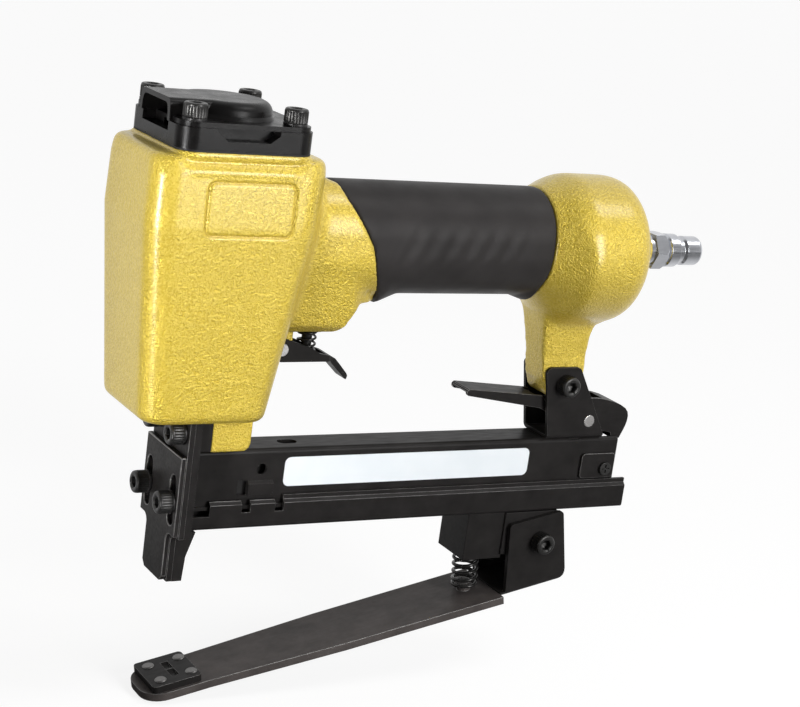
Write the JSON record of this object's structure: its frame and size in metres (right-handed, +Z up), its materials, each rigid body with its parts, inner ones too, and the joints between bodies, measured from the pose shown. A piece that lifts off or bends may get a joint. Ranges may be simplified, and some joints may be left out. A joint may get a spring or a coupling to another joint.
{
  "type": "clinching upholstery stapler",
  "caption": "Air driven upholstery stapler with a rubber grip, a sliding magazine under a fixed channel, a sprung clinching arm with an anvil and a quick coupling air plug.",
  "frame": {"origin": "middle of the staple outlet at the lower tip of the nose, in the plane of the driver blade", "axes": "+X from the nose to the air plug, +Z up along the driver stroke towards the cap, +Y away from the labelled side"},
  "size_m": [0.2518, 0.059, 0.2264],
  "materials": {
    "yellow_enamel": "yellow gold hammertone enamel on cast aluminium",
    "black_casting": "satin black paint on cast aluminium",
    "seal_rubber": "moulded sealing rubber",
    "black_screw": "black oxide alloy steel",
    "washer_steel": "black oxide spring steel",
    "grip_rubber": "matte black moulded rubber with a fine grain",
    "nickel": "nickel plated steel",
    "black_steel": "black oxide sheet and bar steel, edges slightly bright",
    "bright_steel": "ground or drawn bright steel",
    "spring_steel": "oiled spring wire",
    "bright_aluminium": "turned aluminium, hard anodised bore",
    "white_plastic": "white acetal",
    "label_white": "bare white label film"
  },
  "bodies": {
    "frame_body": {"body_casting": "yellow_enamel", "cylinder_cap": "black_casting", "cap_gasket": "seal_rubber", "exhaust_cover": "black_casting", "cap_screws": "black_screw", "cap_washers": "washer_steel", "cylinder_sleeve": "bright_aluminium", "bumper": "seal_rubber", "head_valve_spring": "spring_steel", "grip_sleeve": "grip_rubber", "air_plug": "nickel", "trigger_pin": "bright_steel", "trigger_spring": "spring_steel", "valve_guide": "black_steel", "valve_seal": "seal_rubber", "nose_block": "black_steel", "nose_cover": "black_steel", "plate_screws": "black_screw", "plate_washers": "washer_steel", "nose_screws": "black_screw", "nose_washers": "washer_steel", "fixed_magazine": "black_steel", "label": "label_white", "stop_plate": "black_steel", "stop_screw": "black_screw", "rear_bracket": "black_steel", "bracket_bolt": "black_screw", "bracket_nut": "black_screw", "latch_pin": "bright_steel", "latch_spring": "spring_steel"},
    "trigger_lever": {"trigger": "black_steel"},
    "valve_plunger": {"valve_stem": "spring_steel"},
    "driver": {"piston": "bright_aluminium", "piston_ring": "seal_rubber", "driver_blade": "bright_steel"},
    "head_valve_disc": {"head_valve": "white_plastic"},
    "nose_plate": {"front_plate": "black_steel"},
    "latch": {"latch_lever": "black_steel"},
    "magazine_slide": {"sliding_magazine": "black_steel", "staple_rail": "spring_steel", "slide_end": "black_steel", "pusher_rod": "bright_steel", "pusher_spring": "spring_steel", "hinge_block": "black_steel", "pivot_bolt": "black_screw", "pivot_nut": "black_screw", "arm_spring": "spring_steel"},
    "staple_pusher": {"pusher": "bright_steel"},
    "clinch_lever": {"arm_fork": "black_steel", "clinch_arm": "black_steel", "anvil_plate": "black_steel", "anvil_rivets": "bright_steel"}
  },
  "joints": [
    {"name": "trigger_pull", "type": "hinge", "parent": "frame_body", "child": "trigger_lever", "pos_m": [0.035, 0, 0.087], "axis": [0, -1, 0], "range_deg": [0, 10], "stiffness_Nm_per_rad": 0.2, "springref_deg": -8.59, "deforming": ["trigger_spring"]},
    {"name": "valve_lift", "type": "slide", "parent": "frame_body", "child": "valve_plunger", "axis": [0, 0, 1], "range_m": [0, 0.0026]},
    {"name": "driver_stroke", "type": "slide", "parent": "frame_body", "child": "driver", "axis": [0, 0, -1], "range_m": [0, 0.048]},
    {"name": "head_valve_lift", "type": "slide", "parent": "frame_body", "child": "head_valve_disc", "axis": [0, 0, 1], "range_m": [0, 0.0025], "stiffness_N_per_m": 800, "springref_m": -0.003, "deforming": ["head_valve_spring"]},
    {"name": "plate_adjust", "type": "slide", "parent": "frame_body", "child": "nose_plate", "axis": [0, 0, 1], "range_m": [-0.0018, 0.003]},
    {"name": "latch_turn", "type": "hinge", "parent": "frame_body", "child": "latch", "pos_m": [0.176, 0, 0.0569], "axis": [0, -1, 0], "range_deg": [0, 8], "stiffness_Nm_per_rad": 0.6, "springref_deg": -17.19, "deforming": ["latch_spring"]},
    {"name": "magazine_pull", "type": "slide", "parent": "frame_body", "child": "magazine_slide", "axis": [1, 0, 0], "range_m": [0, 0.1]},
    {"name": "pusher_travel", "type": "slide", "parent": "magazine_slide", "child": "staple_pusher", "axis": [1, 0, 0], "range_m": [0, 0.14], "stiffness_N_per_m": 12, "springref_m": -0.15, "deforming": ["pusher_spring"]},
    {"name": "clinch_close", "type": "hinge", "parent": "magazine_slide", "child": "clinch_lever", "pos_m": [0.158, 0, 0.0078], "axis": [0, 1, 0], "range_deg": [0, 13.6], "stiffness_Nm_per_rad": 6.4, "springref_deg": -16.04, "deforming": ["arm_spring"]}
  ],
  "couplings": [
    {"joint": "valve_lift", "follows": "trigger_pull", "m_per_rad": 0.014}
  ]
}
